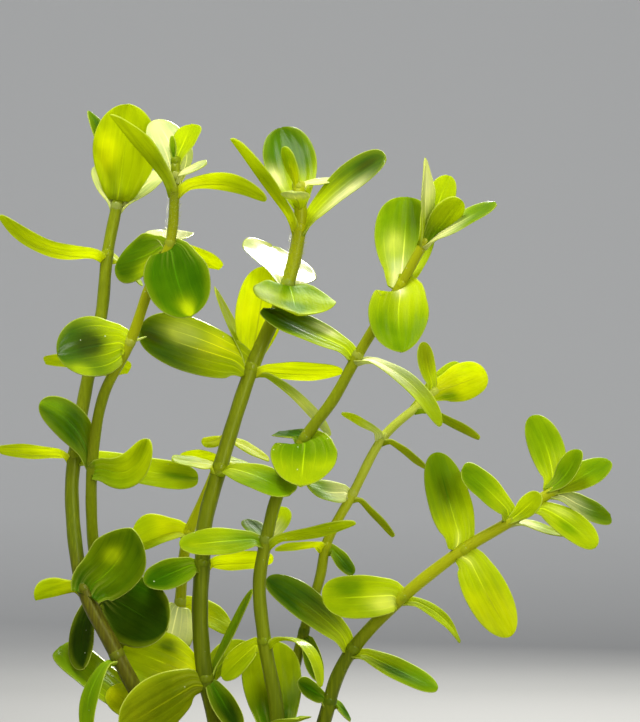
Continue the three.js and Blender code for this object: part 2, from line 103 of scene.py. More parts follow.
# Painted shade: the paint is darkest near the plant, where the lamps light the floor most, and pales
# towards the wall.
paler = np.clip((sweep[..., 1] - PALER_FROM) / PALER_OVER, 0, 1)
shade = FLOOR_PAINTED_SHADE + (PALE_PAINT - FLOOR_PAINTED_SHADE) * paler
floor_tint = floor_mesh.color_attributes.new("tint", "FLOAT_COLOR", "POINT")
floor_tint.data.foreach_set("color", np.stack([shade * part for part in PAINT_HUE]
                                              + [np.ones_like(shade)], -1).ravel())
floor_tones = floor_paint.node_tree.nodes.new("ShaderNodeAttribute")
floor_tones.attribute_name = "tint"
floor_paint.node_tree.links.new(floor_tones.outputs["Color"], floor_shader.inputs["Base Color"])
floor_shader.inputs["Roughness"].default_value = PAINT_ROUGHNESS
floor_mesh.materials.append(floor_paint)
bpy.context.scene.view_settings.view_transform = "Standard"


# The net pot: one thin moulding of black plastic, with upright slots in its wall, short ones in
# its foot, and a flange round the top that hangs it in a hole. It stands on its flat foot.
MM = 0.001
COAT_ROUGHNESS = 0.2


class Wire:
    """A value in a material: +, - and * on it add Math nodes, and add() adds any other node."""

    def __init__(self, material, socket=None):
        self.material, self.socket = material, socket

    def add(self, kind, settings=None, sockets=None, out=0):
        """Adds a node, sets it up, fills its sockets with numbers or links, and gives its output."""
        node = self.material.node_tree.nodes.new(kind)
        for name, value in (settings or {}).items():
            setattr(node, name, value)
        for name, value in (sockets or {}).items():
            if isinstance(value, Wire):
                self.material.node_tree.links.new(value.socket, node.inputs[name])
            else:
                node.inputs[name].default_value = value
        outs = out if isinstance(out, tuple) else (out,)
        wires = [Wire(self.material, node.outputs[o]) for o in outs]
        return wires if isinstance(out, tuple) else wires[0]

    def maths(self, operation, first, second=0.0):
        return self.add("ShaderNodeMath", {"operation": operation}, {0: first, 1: second})

    def __add__(self, other):
        return self.maths("ADD", self, other)

    def __radd__(self, other):
        return self.maths("ADD", other, self)

    def __sub__(self, other):
        return self.maths("SUBTRACT", self, other)

    def __rsub__(self, other):
        return self.maths("SUBTRACT", other, self)

    def __mul__(self, other):
        return self.maths("MULTIPLY", self, other)

    def rise(self, low, high):
        """0 below low, 1 above high, and smooth between them."""
        return self.add("ShaderNodeMapRange", {"interpolation_type": "SMOOTHSTEP"},
                        {0: self, 1: low, 2: high})

    def mix(self, colour, other):
        """From one colour to the other, by this value."""
        colours = [c if isinstance(c, Wire) else (*c, 1) for c in (colour, other)]
        return self.add("ShaderNodeMix", {"data_type": "RGBA"},
                        {0: self, 6: colours[0], 7: colours[1]}, 2)

    def times(self, colour):
        """This colour with each channel multiplied by the other's."""
        return self.add("ShaderNodeMix", {"data_type": "RGBA", "blend_type": "MULTIPLY"},
                        {0: 1.0, 6: self, 7: (*colour, 1)}, 2)

    def noise(self, scale, detail, **more):
        """Noise over these coordinates."""
        return self.add("ShaderNodeTexNoise",
                        sockets={"Vector": self, "Scale": scale, "Detail": detail, **more})

    def dots(self, scale):
        """How far these coordinates are from the nearest of many scattered points."""
        return self.add("ShaderNodeTexVoronoi", sockets={"Vector": self, "Scale": scale},
                        out="Distance")


def new_material(name, roughness=0.5, coat=0.0, sheen=0.0):
    """A new material: its first wire, its Principled shader and its object coordinates."""
    material = bpy.data.materials.new(name)
    material.use_nodes = True
    shader = material.node_tree.nodes["Principled BSDF"]
    shader.inputs["Roughness"].default_value = roughness
    shader.inputs["Coat Weight"].default_value = coat
    shader.inputs["Coat Roughness"].default_value = COAT_ROUGHNESS
    shader.inputs["Sheen Weight"].default_value = sheen
    wire = Wire(material)
    return wire, shader, wire.add("ShaderNodeTexCoord", out="Object")


def link(wire, shader, socket):
    wire.material.node_tree.links.new(wire.socket, shader.inputs[socket])


def emboss(height, shader, strength, distance):
    """Shows a height as bumps of the shader's surface."""
    link(height.add("ShaderNodeBump", sockets={
        "Height": height, "Strength": strength, "Distance": distance}), shader, "Normal")


def piece(name, corners, faces, material, slot, replaced, marks=None):
    """A smooth mesh from corners in millimetres, as a piece that stands for CAD nodes.

    The marks are further values of each corner, under the names that its material reads."""
    mesh = bpy.data.meshes.new(name)
    mesh.from_pydata((np.asarray(corners) * MM).tolist(), [], faces)
    mesh.polygons.foreach_set("use_smooth", np.ones(len(mesh.polygons), bool))
    for label, (kind, values) in (marks or {}).items():
        layer = mesh.attributes.new(label, kind, "POINT")
        layer.data.foreach_set("color" if kind == "FLOAT_COLOR" else "vector",
                               np.asarray(values, np.float32).ravel())
    mesh.materials.append(material)
    made = bpy.data.objects.new(name, mesh)
    bpy.context.scene.collection.objects.link(made)
    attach(made, "root")
    if replaced:
        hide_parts(*replaced)
    return made


POT_HEIGHT, POT_TOP_RADIUS, POT_FOOT_RADIUS, RIM_RADIUS = 50.0, 25.0, 19.0, 27.0
POT_WALL, RIM_THICKNESS, POT_CORNER, POT_EDGE, POT_HUB = 1.3, 1.6, 0.2, 0.25, 0.4
SIDE_SLOTS, SLOT_WIDTH, SLOT_BOTTOM, SLOT_TOP = 16, 3.0, 9.0, 39.0
FOOT_SLOTS, FOOT_SLOT_WIDTH, FOOT_SLOT_INNER, FOOT_SLOT_OUTER = 8, 2.2, 8.0, 15.5
STEPS_ROUND = SIDE_SLOTS * 18


def spread(*spans):
    """Numbers at equal steps in each span, which gives the first, the last and how many."""
    return np.concatenate([np.linspace(*span) for span in spans])


def turned(radius, height, steps):
    """A profile turned round the axis, as corners by ring and by step round it."""
    angle = np.arange(steps) * 2 * np.pi / steps
    return np.stack([radius[:, None] * np.cos(angle), radius[:, None] * np.sin(angle),
                     height[:, None] + 0 * angle], -1)


def ring_quads(rings, count):
    """The faces between rings of corners, by ring and by step round it."""
    start, step = np.arange(rings - 1)[:, None] * count, np.arange(count)
    near, beside = start + step, start + (step + 1) % count
    return np.stack([near, beside, beside + count, near + count], -1)


def pot_sheet():
    """The outer face of the pot as radius and height along a profile, turned round the axis.

    The profile runs from the foot's middle out to its edge, up the tapered wall, and out
    along the flange. Cells inside a slot are left out."""
    ledge = POT_HEIGHT - RIM_THICKNESS
    foot = spread((POT_HUB, FOOT_SLOT_INNER, 6), (FOOT_SLOT_INNER + 0.6, FOOT_SLOT_OUTER, 10),
                  (FOOT_SLOT_OUTER + 0.7, POT_FOOT_RADIUS - 0.8, 4))
    wall = spread((0.8, SLOT_BOTTOM, 8), (SLOT_BOTTOM + 1, SLOT_TOP, 30),
                  (SLOT_TOP + 1, ledge - 0.4, 9))
    slope = POT_FOOT_RADIUS + (POT_TOP_RADIUS - POT_FOOT_RADIUS) * wall / POT_HEIGHT
    flange = spread((slope[-1] + 0.4, RIM_RADIUS - 0.3, 5))
    radius = np.concatenate([foot, [POT_FOOT_RADIUS - POT_CORNER], slope,
                             flange, [RIM_RADIUS, RIM_RADIUS]])
    height = np.concatenate([foot * 0, [POT_CORNER], wall,
                             flange * 0 + ledge, [ledge + 0.3, POT_HEIGHT]])
    middle = np.arange(STEPS_ROUND) * 2 * np.pi / STEPS_ROUND + np.pi / STEPS_ROUND
    r = (radius[:-1] + radius[1:])[:, None] / 2
    z = (height[:-1] + height[1:])[:, None] / 2
    side = np.abs((middle + np.pi / SIDE_SLOTS) % (2 * np.pi / SIDE_SLOTS) - np.pi / SIDE_SLOTS) * r
    in_wall = (z > SLOT_BOTTOM) & (z < SLOT_TOP) & (side < SLOT_WIDTH / 2)
    side = np.abs(middle % (2 * np.pi / FOOT_SLOTS) - np.pi / FOOT_SLOTS) * r
    in_foot = ((z < POT_CORNER / 2) & (r > FOOT_SLOT_INNER) & (r < FOOT_SLOT_OUTER)
               & (side < FOOT_SLOT_WIDTH / 2))
    kept = ring_quads(len(radius), STEPS_ROUND)[~(in_wall | in_foot)]
    hub = tuple(range(STEPS_ROUND))[::-1]
    return turned(radius, height, STEPS_ROUND).reshape(-1, 3), [hub] + kept.tolist()


PLASTIC, WORN_PLASTIC, DUST = (0.012, 0.0125, 0.014), (0.022, 0.022, 0.024), (0.10, 0.085, 0.06)
DUST_HEIGHT = 0.012
wire, pot_shader, place = new_material("black_plastic", 0.42)
grain = place.noise(900.0, 3.0)
cloud = place.noise(60.0, 4.0)
height = wire.add("ShaderNodeSeparateXYZ", sockets={0: place}, out="Z")
dust = (1 - height.rise(0.0, DUST_HEIGHT)) * cloud.rise(0.4, 0.7)
link((dust * 0.5).mix(cloud.mix(PLASTIC, WORN_PLASTIC), DUST), pot_shader, "Base Color")
link(0.36 + grain * 0.12 + dust * 0.3, pot_shader, "Roughness")
emboss(grain, pot_shader, 0.25, 0.0001)
pot = piece("net_pot_moulding", *pot_sheet(), wire.material, "pot", ["net_pot"])
shell = pot.modifiers.new("wall", "SOLIDIFY")
shell.thickness, shell.offset, shell.use_even_offset = POT_WALL * MM, -1, True
soften = pot.modifiers.new("edges", "BEVEL")
soften.width, soften.segments, soften.angle_limit = POT_EDGE * MM, 2, np.radians(50)


# The rock wool: a plug of pressed mineral fibre, cut to the pot's taper and pushed in round the
# stems. Its face is felted and uneven, with loose fibre ends standing out of the top.
WOOL_TOP, WOOL_BOTTOM, WOOL_TOP_RADIUS, WOOL_FOOT_RADIUS, WOOL_HUB = 47.5, 2.2, 22.0, 16.9, 0.2
WOOL_SHARES = [0, 0.2, 0.23, 0.74, 0.76, 1]
LUMP_WAVES = (0.5, 0.7, 1.0, 1.4, 2.0, 2.8, 3.6)
LUMP_LIFT, LUMP_SQUEEZE, LIFTED_ABOVE = 0.16, 0.006, 30
FIBRE_RINGS, FIBRE_SIDES, FIBRE_SPREAD, FIBRE_EDGE = 5, 3, 21, 20.3
FIBRE_LENGTHS, FIBRE_ARCHES, FIBRE_RADII = (1.5, 5.0), (0.1, 1.3), (0.03, 0.06)
FIBRE_SPAN, FIBRE_DEPTH = 0.8, 0.6
WOOL_SEED, FIBRE_SEED = 7, 11


def wool_skin(rings=150, round_steps=220):
    """Radius and height along the plug's profile, turned round, and pushed about by summed waves."""
    share = np.linspace(0, 1, rings)
    radius = np.interp(share, WOOL_SHARES, [
        WOOL_HUB, WOOL_FOOT_RADIUS - 0.7, WOOL_FOOT_RADIUS,
        WOOL_TOP_RADIUS, WOOL_TOP_RADIUS - 0.8, WOOL_HUB])
    height = np.interp(share, WOOL_SHARES, [
        WOOL_BOTTOM + 0.3, WOOL_BOTTOM + 0.3, WOOL_BOTTOM + 1,
        WOOL_TOP - 1.5, WOOL_TOP - 0.5, WOOL_TOP - 0.3])
    grid = turned(radius, height, round_steps)
    rng = np.random.default_rng(WOOL_SEED)
    lump = sum(np.sin(grid @ rng.normal(0, k, 3) + rng.uniform(0, 6)) / k for k in LUMP_WAVES)
    grid[..., 2] += LUMP_LIFT * lump * (grid[..., 2] > LIFTED_ABOVE)
    grid[..., :2] *= 1 - LUMP_SQUEEZE * np.abs(lump[..., None])
    return grid


def close_rings(grid):
    """Corners and faces of a skin of rings that ends in a middle point at both ends."""
    rings, count = grid.shape[:2]
    flat = grid.reshape(rings * count, -1)
    corners = np.concatenate([flat, grid[0].mean(0)[None], grid[-1].mean(0)[None]])
    step, last = np.arange(count), (rings - 1) * count
    first_fan = np.stack([0 * step + rings * count, (step + 1) % count, step], -1)
    last_fan = np.stack([0 * step + rings * count + 1, last + step, last + (step + 1) % count], -1)
    quads = ring_quads(rings, count).reshape(-1, 4)
    return corners, quads.tolist() + first_fan.tolist() + last_fan.tolist()


def fibres(count=900):
    """Thin bent threads: closed tubes of a few rings that arch from one point of the top to another."""
    rng = np.random.default_rng(FIBRE_SEED)
    angle, reach = rng.uniform(0, 2 * np.pi, count), FIBRE_SPREAD * np.sqrt(rng.uniform(0, 1, count))
    heading, length = rng.uniform(0, 2 * np.pi, count), rng.uniform(*FIBRE_LENGTHS, count)
    arch, thick = rng.uniform(*FIBRE_ARCHES, count), rng.uniform(*FIBRE_RADII, count)
    u = np.linspace(0, 1, FIBRE_RINGS)[:, None, None]
    turn = (np.arange(FIBRE_SIDES) * 2 * np.pi / FIBRE_SIDES)[None, :, None]
    x = reach * np.cos(angle) + (u - 0.5) * length * np.cos(heading) * FIBRE_SPAN
    y = reach * np.sin(angle) + (u - 0.5) * length * np.sin(heading) * FIBRE_SPAN
    z = WOOL_TOP - FIBRE_DEPTH + arch * 4 * u * (1 - u)
    grid = np.stack([x - np.sin(heading) * thick * np.cos(turn),
                     y + np.cos(heading) * thick * np.cos(turn), z + thick * np.sin(turn)], -1)
    grid = grid[:, :, reach < FIBRE_EDGE]
    total = grid.shape[2]
    index = np.arange(FIBRE_RINGS * FIBRE_SIDES * total).reshape(FIBRE_RINGS, FIBRE_SIDES, total)
    side = index[:-1], np.roll(index, -1, 1)[:-1], np.roll(index, -1, 1)[1:], index[1:]
    faces = np.stack(side, -1).reshape(-1, 4)
    ends = np.concatenate([index[0].T[:, ::-1], index[-1].T])
    return grid.reshape(-1, 3), faces.tolist() + ends.tolist()


DARK_FELT, PALE_FELT, ALGAE = (0.20, 0.15, 0.075), (0.62, 0.54, 0.36), (0.16, 0.17, 0.05)
wire, wool_shader, place = new_material("rock_wool_felt", 0.95, sheen=0.3)
felt = place.noise(700.0, 8.0, Distortion=1.5)
patch = place.noise(90.0, 3.0)
shade = felt.rise(0.3, 0.7).mix(DARK_FELT, PALE_FELT)
link((patch.rise(0.55, 0.75) * 0.5).mix(shade, ALGAE), wool_shader, "Base Color")
emboss(felt, wool_shader, 0.9, 0.0006)
piece("wool_plug", *close_rings(wool_skin()), wire.material, "wool", ["rock_wool"])
piece("wool_fibres", *fibres(), wire.material, "wool", [])


# The first stem and its leaves, and how every stem and leaf is made. A stem is round, fleshy and
# smooth. Its leaves stand in pairs, and their bases clasp it in a short sheath that grows on it.
# Each tone is a colour of stem or leaf, and its glow is how much light a leaf of it lets through.
# The palest leaf tone is partly painted highlight: leaves and spots of it stand for the white glare
# of leaves that shine in the light, and it is also the pale colour of some leaf bases.
TONES = {
    "deep": (0.016, 0.043, 0.001), "green": (0.036, 0.115, 0.001), "leaf": (0.13, 0.26, 0.002),
    "lime": (0.36, 0.47, 0.003), "yellow": (0.78, 0.80, 0.003), "straw": (0.38, 0.41, 0.003),
    "olive": (0.19, 0.235, 0.003), "moss": (0.088, 0.125, 0.002), "cream": (0.76, 0.78, 0.34),
    "pale": (0.56, 0.63, 0.08), "bark": (0.085, 0.075, 0.006)}
GLOW = {"deep": 0.08, "green": 0.22, "leaf": 0.32, "lime": 0.40, "yellow": 0.64, "straw": 0.5,
        "olive": 0.28, "cream": 0.28}
STEM_SIDES = 24

# A leaf wider than BROAD_LEAF millimetres has a finer grid of rings along it and columns across.
# The veins' step is a share of the half width, and the other steps and shares are of the length.
BROAD_LEAF, BROAD_GRID, NARROW_GRID, LAST_RING = 9, (38, 33), (26, 21), 0.985
LEAF_THICKNESS, VEIN_STEP, KEEL_WIDTH, KEEL_UNDER, KEEL_OVER = 0.55, 0.34, 0.5, 0.22, 0.08
CLASP_CUP, CLASP_SHARE, STALK_SHARE, STALK_ROOT = 60, 0.06, 0.16, 0.5
BASE_SWELL, SWELL_SHARE = 0.9, 0.08
RIB_HEIGHT, MARGIN_WAVE, FACE_WAVE, LEAF_SEED = 0.05, 0.014, 0.012, 3
TONE_FROM, TONE_OVER, TONE_VARIES, UNDERSIDE_LIME, PATCH_FILL = 0.12, 0.6, 0.07, 0.08, 1.4
leaf_draws = np.random.default_rng(LEAF_SEED)

# A sheath's rings, in millimetres up the stem and out from its skin, round a stem and at its tip,
# and its marks: across, along, half width, gloss, glow and a number by which leaves differ.
SHEATH_DROP, SHEATH_YOUNG, TIP_REACH = 1.6, 0.2, 0.05
SHEATH = ([-0.95, -0.8, -0.4, 0, 0.4, 0.8, 0.95], [-0.2, -0.04, 0.03, 0.05, 0.03, -0.04, -0.2])
TIP_SHEATH = ([-0.95, -0.8, -0.4, 0, 0.35, 0.6, 0.7], [-0.2, -0.03, 0.04, 0.04, -0.1, -0.4, -0.75])
SHEATH_MARKS = (0.5, 0.0, 3.0, 0.5, 0.15, 0.5)

# A hair starts at HAIR_ROOT of the stem's radius, has a ring at each share of its length, and
# bends up and thins towards its tip.
HAIR_LENGTHS, HAIR_RADII, HAIR_SHARES, HAIR_SIDES = (0.35, 0.8), (0.018, 0.03), (0, 0.4, 0.75, 1), 3
HAIR_ROOT, HAIR_BEND, HAIR_TAPER, HAIR_TINT = 0.93, 0.5, 0.85, [0.62, 0.66, 0.20, 1.0]


def leaf(tip, width, face, tones, **habit):
    """One leaf: its tip, its greatest width, the way its upper face looks, its tones at base and
    tip, and its habit.

    Sag and sway bow it by millimetres, and cup and fold bend it by degrees. Base, widest and
    blunt shape its outline, and gloss is how much it shines. Each patch is a spot of another
    tone: its share of the length, its place across, and its size."""
    shape = dict(sag=0, sway=0, cup=10, fold=0, base=0.32, widest=0.56, blunt=2.2, gloss=0.05,
                 patches=())
    shape.update(habit, tip=np.array(tip, float), width=width, face=np.array(face, float),
                 tones=tones.split("-"))
    return shape


def course(points, steps=240, fine_steps=1500):
    """A curve through the points, a centripetal Catmull-Rom spline, at equal steps of its length."""
    p = np.array(points, float)
    p = np.vstack([2 * p[0] - p[1], p, 2 * p[-1] - p[-2]])
    knot = np.concatenate([[0], np.cumsum(np.linalg.norm(np.diff(p, axis=0), axis=1) ** 0.5)])
    t = np.linspace(knot[1], knot[-2], fine_steps)
    i = np.clip(np.searchsorted(knot, t, side="right") - 1, 1, len(p) - 3)
    k = [knot[i + n][:, None] for n in (-1, 0, 1, 2)]
    q = [p[i + n] for n in (-1, 0, 1, 2)]
    t = t[:, None]
    for span in (1, 2, 3):
        for n in range(4 - span):
            low, high = (k[n], k[n + span]) if span < 3 else (k[1], k[2])
            q[n] = ((high - t) * q[n] + (t - low) * q[n + 1]) / (high - low)
    length = np.concatenate([[0], np.cumsum(np.linalg.norm(np.diff(q[0], axis=0), axis=1))])
    even = np.linspace(0, length[-1], steps)
    return np.stack([np.interp(even, length, q[0][:, n]) for n in range(3)], -1)


def unit(v):
    return v / np.linalg.norm(v, axis=-1, keepdims=True)


def square_to(ahead):
    """Two directions square to the one in which a stem runs: to its side, and over it."""
    side = unit(np.array([1.0, 0, 0]) - ahead * ahead[..., :1])
    return side, np.cross(ahead, side)


def stem(letter, radii, points, *tones):
    """A stem as a tapering rod along its course, and what its leaves need to know of it.

    Round the rod the radius swells and sinks by a few hundredths in long ridges. The tones are
    pairs of a height and a colour, and the colour changes evenly between them."""
    line = course(points)
    ahead = unit(np.gradient(line, axis=0))
    radius = np.linspace(radii[0], radii[1], len(line))[:, None]
    side, over = square_to(ahead)
    angle = np.arange(STEM_SIDES) * 2 * np.pi / STEM_SIDES
    ridge = 1 + 0.025 * np.sin(5 * angle) + 0.012 * np.sin(9 * angle + 2) - 0.02
    bumpy = ridge * (1 + 0.02 * np.sin(line[:, 2:] * 0.9 + 2 * np.sin(angle)))
    grid = line[:, None] + (radius * bumpy)[..., None] * (
        side[:, None] * np.cos(angle)[:, None] + over[:, None] * np.sin(angle)[:, None])
    shade = np.stack([np.interp(line[:, 2], [t[0] for t in tones], [TONES[t[1]][n] for t in tones])
                      for n in range(3)], -1)
    grid = np.concatenate([grid, np.broadcast_to(shade[:, None], grid.shape)], -1)
    corners, faces = close_rings(grid[::2])
    piece(f"stem_{letter}_rod", corners[:, :3], faces, stem_skin, "stem", [f"stem_{letter}"],
          {"tint": ("FLOAT_COLOR", np.insert(corners[:, 3:], 3, 1, axis=1))})
    return dict(letter=letter, line=line, ahead=ahead, radius=radius, shade=shade)


def at_height(stalk, height):
    """Where a stem is at one height or at many, how it runs, its radius and its colour there."""
    share = np.interp(height, stalk["line"][:, 2], np.arange(len(stalk["line"])))
    return [np.stack([np.interp(share, np.arange(len(rows)), column) for column in rows.T], -1)
            for rows in (stalk["line"], stalk["ahead"], stalk["radius"], stalk["shade"])]


def blade(start, shape):
    """One leaf as a closed skin, by its length and by the way round it, with its marks beside.

    The middle line runs from start to the tip and bows by sag and sway. Across it the blade is an
    arc of cup degrees to each side, whose halves are folded up by fold. Its half width rises as a
    sine to the widest share and closes as a superellipse. The depth is that of a thin lens with a
    keel under the midrib, and slow waves lift it, most at the margins. Its marks are the same as
    those of a sheath, after its tint."""
    rings, columns = BROAD_GRID if shape["width"] > BROAD_LEAF else NARROW_GRID
    u = np.sin(np.linspace(0, LAST_RING, rings) * np.pi / 2)[:, None]
    w = np.linspace(1, -1, columns)
    v = 0.75 * w + 0.25 * np.sin(np.pi / 2 * w)
    v = np.concatenate([v, v[::-1][1:-1]])[None]
    side = np.concatenate([[0], -np.ones(columns - 2), [0], np.ones(columns - 2)])[None]
    beyond = np.clip((u - shape["widest"]) / (1 - shape["widest"]), 0, 1)
    rise = np.sin(np.pi / 2 * np.minimum(u / shape["widest"], 1)) ** 0.9
    half = shape["width"] / 2 * (shape["base"] + (1 - shape["base"]) * rise) * (
        1 - beyond ** shape["blunt"]) ** (1 / shape["blunt"])
    chord = shape["tip"] - start
    face = unit(shape["face"] - unit(chord) * (shape["face"] @ unit(chord)))
    sideways = np.cross(unit(chord), face)
    bend = face * shape["sag"] + sideways * shape["sway"]
    middle = start + chord * u + bend * (4 * u * (1 - u))
    middle = middle - shape["stalk"] * np.clip(1 - u / STALK_SHARE, 0, 1) ** 2
    tangent = unit(np.gradient(middle, u[:, 0], axis=0))
    up = unit(face - tangent * (tangent @ face)[:, None])
    out = np.cross(tangent, up)
    cup = np.radians(shape["cup"] + CLASP_CUP * np.exp(-u / CLASP_SHARE)) + 1e-6
    flat = half / cup * np.sin(v * cup)
    fold = np.radians(shape["fold"])
    lift = half / cup * (1 - np.cos(v * cup)) + np.abs(flat) * np.sin(fold)
    thick = np.minimum(LEAF_THICKNESS * (1 + BASE_SWELL * np.exp(-u / SWELL_SHARE)), half * 0.9)
    lens = side * np.sqrt(np.clip(1 - v * v, 0, 1)) * thick / 2
    keel = np.exp(-(v * half / KEEL_WIDTH) ** 2) * (1 - u) ** 0.6
    ribs = np.cos(2 * np.pi * v / VEIN_STEP) * np.sin(np.pi * u) ** 0.5 * (1 - v * v) * RIB_HEIGHT
    p = leaf_draws.uniform(0, 6.28, 6)
    wave = np.sin(6 * u + p[0] + 2.5 * np.sign(v)) + 0.6 * np.sin(13 * u + p[1] + np.sign(v))
    ripple = shape["width"] * np.sin(np.pi * np.minimum(u * 1.4, 1) / 2) * (
        MARGIN_WAVE * wave * v * v + FACE_WAVE * np.sin(4 * v + p[2]) * np.sin(7 * u + p[3]))
    raised = lift + lens + ripple + ribs - keel * np.where(side < 0, KEEL_UNDER, KEEL_OVER)
    grid = (middle[:, None] + out[:, None] * (flat * np.cos(fold))[..., None]
            + up[:, None] * raised[..., None])
    first, last = (np.array(TONES[tone]) for tone in shape["tones"])
    glow = [GLOW[tone] for tone in shape["tones"]]
    share = np.clip((u + 0.06 * np.sin(5 * v + p[4]) - TONE_FROM) / TONE_OVER, 0, 1)
    share = share * share * (3 - 2 * share)
    tint = (first + (last - first) * share[..., None]) * (1 + TONE_VARIES * np.sin(p[5]))
    lit = glow[0] + (glow[1] - glow[0]) * share
    for tone, along, aside, size in shape["patches"]:
        near = np.exp(-(((u - along) / size) ** 2 + ((v - aside) / (2 * size)) ** 2))[..., None]
        tint = tint + (np.array(TONES[tone]) - tint) * np.clip(near * PATCH_FILL, 0, 1)
    under = tint + UNDERSIDE_LIME * (np.array(TONES["lime"]) - tint)
    tint = np.where(side[..., None] < 0, under, tint)
    marks = v, u, half, (side + 1) / 2 * shape["gloss"], lit, leaf_draws.uniform(0, 1)
    marks = [np.broadcast_to(mark, lit.shape)[..., None] for mark in marks]
    return np.concatenate([grid, tint] + marks, -1)


def whorl(stalk, number, height, *leaves):
    """The leaves at one node of a stem with the short sheath that they grow from, as one piece."""
    at, ahead, radius, shade = at_height(stalk, height)
    ahead = unit(ahead)
    side, over = square_to(ahead)
    up, wide = TIP_SHEATH if height > stalk["line"][-1, 2] - TIP_REACH else SHEATH
    angle = np.arange(STEM_SIDES)[None, :, None] * 2 * np.pi / STEM_SIDES
    rim = (radius + np.array(wide))[:, None, None]
    ring = (at + ahead * np.array(up)[:, None, None]
            + rim * (side * np.cos(angle) + over * np.sin(angle)))
    young = np.mean([TONES[shape["tones"][0]] for shape in leaves], 0)
    every = np.ones_like(ring[..., :1])
    grids = [np.concatenate([ring, (shade + SHEATH_YOUNG * (young - shade)) * every]
                            + [mark * every for mark in SHEATH_MARKS], -1)]
    for shape in leaves:
        outward = shape["tip"] - at
        outward = unit(outward - ahead * (outward @ ahead))
        grids.append(blade(at + outward * radius * STALK_ROOT, dict(shape, stalk=ahead * SHEATH_DROP)))
    corners, faces, count = [], [], 0
    for grid in grids:
        skin, cells = close_rings(grid)
        faces += [tuple(n + count for n in cell) for cell in cells]
        corners.append(skin)
        count += len(skin)
    corners = np.concatenate(corners)
    name = stalk["letter"] + str(number)
    piece(f"whorl_{name}", corners[:, :3], faces, leaf_skin, "leaf", [f"leaves_{name}"],
          {"tint": ("FLOAT_COLOR", np.insert(corners[:, 3:6], 3, 1, axis=1)),
           "blade": ("FLOAT_VECTOR", corners[:, 6:9]), "habit": ("FLOAT_VECTOR", corners[:, 9:12])})


def hairs(stalk, low, high, count, seed):
    """Short soft hairs: closed tubes of a few rings that stand out of the stem and bend upwards."""
    rng = np.random.default_rng(seed)
    height, angle = rng.uniform(low, high, count), rng.uniform(0, 2 * np.pi, count)
    length, thick = (rng.uniform(*bounds, count)[:, None] for bounds in (HAIR_LENGTHS, HAIR_RADII))
    at, ahead, radius = at_height(stalk, height)[:3]
    side, over = square_to(ahead)
    outward = side * np.cos(angle)[:, None] + over * np.sin(angle)[:, None]
    beside = np.cross(ahead, outward)
    rings = []
    for u in HAIR_SHARES:
        root = at + outward * (radius * HAIR_ROOT + length * u) + ahead * length * HAIR_BEND * u * u
        for turn in np.arange(HAIR_SIDES) * 2 * np.pi / HAIR_SIDES:
            ray = beside * np.cos(turn) + ahead * np.sin(turn)
            rings.append(root + ray * thick * (1 - HAIR_TAPER * u))
    corners = np.stack(rings, 1).reshape(-1, 3)
    index = np.arange(len(corners)).reshape(count, len(HAIR_SHARES), HAIR_SIDES)
    beyond = np.roll(index, -1, 2)
    faces = np.stack([index[:, :-1], beyond[:, :-1], beyond[:, 1:], index[:, 1:]], -1).reshape(-1, 4)
    ends = np.concatenate([index[:, 0, ::-1], index[:, -1]])
    piece(f"stem_{stalk['letter']}_hairs", corners, faces.tolist() + ends.tolist(),
          stem_skin, "stem", [],
          {"tint": ("FLOAT_COLOR", np.broadcast_to(HAIR_TINT, (len(corners), 4)))})


def read(wire, name):
    """The three parts of a mark that the mesh holds for each corner."""
    mark = wire.add("ShaderNodeAttribute", {"attribute_name": name}, out="Vector")
    return wire.add("ShaderNodeSeparateXYZ", sockets={0: mark}, out=(0, 1, 2))


def let_through(wire, shader, colour, share):
    """Mixes the shader with light that comes through from behind, for the surface to show."""
    through = wire.add("ShaderNodeBsdfTranslucent", sockets={"Color": (*colour, 1)})
    surface = Wire(wire.material, shader.outputs[0])
    both = wire.add("ShaderNodeMixShader", sockets={0: share, 1: surface, 2: through})
    link(both, wire.material.node_tree.nodes["Material Output"], "Surface")


# Stem skin: green and moist, smooth but for fine lengthwise lines and a few pale specks.
STEM_SHINE, STEM_SHEEN, STEM_THROUGH = (0.9, 1.0, 0.3, 1), (0.9, 0.95, 0.1, 1), (0.58, 0.58, 0.004)
STEM_LINES, STEM_CLOUDS, STEM_SPECKS = (0.40, 0.46, 0.01), (0.6, 0.66, 0.5), (0.7, 0.74, 0.40)
wire, stem_shader, place = new_material("stem_skin", 0.42, coat=0.04, sheen=0.05)
stem_shader.inputs["Specular IOR Level"].default_value = 0.25
stem_shader.inputs["Specular Tint"].default_value = STEM_SHINE
stem_shader.inputs["Sheen Tint"].default_value = STEM_SHEEN
tint = wire.add("ShaderNodeAttribute", {"attribute_name": "tint"}, out="Color")
drawn = wire.add("ShaderNodeMapping", {"vector_type": "POINT"},
                 {"Vector": place, "Scale": (2200.0, 2200.0, 60.0)})
streak = drawn.noise(1.0, 2.0)
cloud = place.noise(120.0, 3.0)
speck = 1 - place.dots(420.0).rise(0.03, 0.07)
shade = (streak.rise(0.4, 0.7) * 0.2).mix(tint, STEM_LINES)
shade = (cloud.rise(0.45, 0.75) * 0.3).mix(shade, tint.times(STEM_CLOUDS))
link((speck * 0.45).mix(shade, STEM_SPECKS), stem_shader, "Base Color")
emboss(streak * 0.6 + speck * 0.5, stem_shader, 0.3, 0.0001)
let_through(wire, stem_shader, STEM_THROUGH, 0.18)
stem_skin = wire.material

